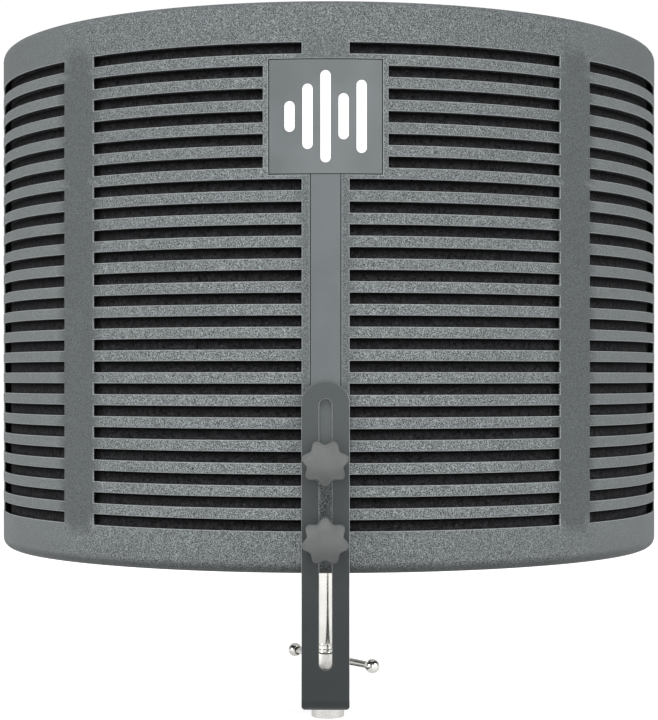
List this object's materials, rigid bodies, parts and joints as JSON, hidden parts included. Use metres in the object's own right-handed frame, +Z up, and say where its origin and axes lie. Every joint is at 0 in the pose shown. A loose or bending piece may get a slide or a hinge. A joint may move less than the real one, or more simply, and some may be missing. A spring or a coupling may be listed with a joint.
{
  "type": "microphone isolation shield",
  "caption": "Half-round slotted acoustic shield lined with absorber, clamped by lobed knobs to a slotted steel bracket on a stand socket with a microphone post",
  "frame": {"origin": "middle of the stand socket's mouth, on the stand's axis", "axes": "+Z up along the stand's axis, +X to the right seen from behind the shield, +Y towards the performer"},
  "size_m": [0.4, 0.2199, 0.3938],
  "materials": {
    "grained_abs": "moulded ABS in slate grey with a fine pebble grain",
    "smooth_abs": "satin moulded ABS in slate grey",
    "felt": "black needled felt",
    "foil": "plain rolled sheet",
    "emblem_white": "white moulded plastic",
    "black_steel": "dark grey satin paint, with bare bright edges",
    "knob_plastic": "matte moulded plastic, finely textured",
    "zinc_steel": "zinc plated",
    "brass": "turned",
    "nickel": "nickel plated, polished, with fine turning marks"
  },
  "bodies": {
    "stand_mount": {"stand_socket": "nickel"},
    "swivel": {"swivel_washer": "zinc_steel"},
    "bracket_arm": {"bracket": "black_steel"},
    "shield": {"outer_shell": "grained_abs", "frame_rail_bottom": "grained_abs", "frame_rail_top": "grained_abs", "frame_end_left": "grained_abs", "frame_end_right": "grained_abs", "rear_absorber": "felt", "foil_sheet": "foil", "front_absorber": "felt", "badge_plate": "smooth_abs", "badge_emblem": "emblem_white", "inlay_strip": "smooth_abs", "insert_upper": "brass", "insert_lower": "brass", "spacer_rib_1": "smooth_abs", "spacer_rib_2": "smooth_abs", "spacer_rib_3": "smooth_abs", "spacer_rib_4": "smooth_abs", "spacer_rib_5": "smooth_abs", "spacer_rib_6": "smooth_abs", "frame_screw_1": "zinc_steel", "frame_screw_2": "zinc_steel", "frame_screw_3": "zinc_steel", "frame_screw_4": "zinc_steel", "frame_screw_5": "zinc_steel", "frame_screw_6": "zinc_steel", "frame_screw_7": "zinc_steel", "frame_screw_8": "zinc_steel", "frame_screw_9": "zinc_steel", "frame_screw_10": "zinc_steel"},
    "knob_washer_u": {"knob_washer_upper": "zinc_steel"},
    "knob_u": {"knob_upper": "knob_plastic", "knob_stud_upper": "zinc_steel"},
    "knob_washer_l": {"knob_washer_lower": "zinc_steel"},
    "knob_l": {"knob_lower": "knob_plastic", "knob_stud_lower": "zinc_steel"},
    "clamp_ring": {"clamp_washer": "zinc_steel"},
    "post": {"mic_post": "nickel"},
    "cross_bar": {"t_bar": "nickel", "t_bar_ball_left": "nickel", "t_bar_ball_right": "nickel"}
  },
  "joints": [
    {"name": "bracket_swivel", "type": "hinge", "parent": "stand_mount", "child": "swivel", "pos_m": [0, 0, 0.0224], "axis": [0, 0, 1], "continuous": true},
    {"name": "bracket_reach", "type": "slide", "parent": "swivel", "child": "bracket_arm", "axis": [0, 1, 0], "range_m": [-0.025, 0.045]},
    {"name": "shield_height", "type": "slide", "parent": "bracket_arm", "child": "shield", "axis": [0, 0, 1], "range_m": [-0.056, 0.029]},
    {"name": "upper_knob_turn", "type": "hinge", "parent": "knob_washer_u", "child": "knob_u", "pos_m": [0, -0.125, 0.1532], "axis": [0, -1, 0], "range_deg": [0, 1080]},
    {"name": "upper_knob_travel", "type": "slide", "parent": "shield", "child": "knob_washer_u", "axis": [0, -1, 0], "range_m": [0, 0.003]},
    {"name": "lower_knob_turn", "type": "hinge", "parent": "knob_washer_l", "child": "knob_l", "pos_m": [0, -0.125, 0.1132], "axis": [0, -1, 0], "range_deg": [0, 1080]},
    {"name": "lower_knob_travel", "type": "slide", "parent": "shield", "child": "knob_washer_l", "axis": [0, -1, 0], "range_m": [0, 0.003]},
    {"name": "post_lift", "type": "slide", "parent": "stand_mount", "child": "clamp_ring", "axis": [0, 0, 1], "range_m": [0, 0.003]},
    {"name": "post_turn", "type": "hinge", "parent": "clamp_ring", "child": "post", "pos_m": [0, 0, 0.03], "axis": [0, 0, 1], "range_deg": [0, 720]},
    {"name": "cross_bar_slide", "type": "slide", "parent": "post", "child": "cross_bar", "axis": [0.5678, -0.8231, 0], "range_m": [-0.0294, 0.0195]}
  ],
  "couplings": [
    {"joint": "upper_knob_turn", "follows": "upper_knob_travel", "rad_per_m": 6283.2},
    {"joint": "lower_knob_turn", "follows": "lower_knob_travel", "rad_per_m": 6283.2},
    {"joint": "post_turn", "follows": "post_lift", "rad_per_m": 4188.8}
  ]
}
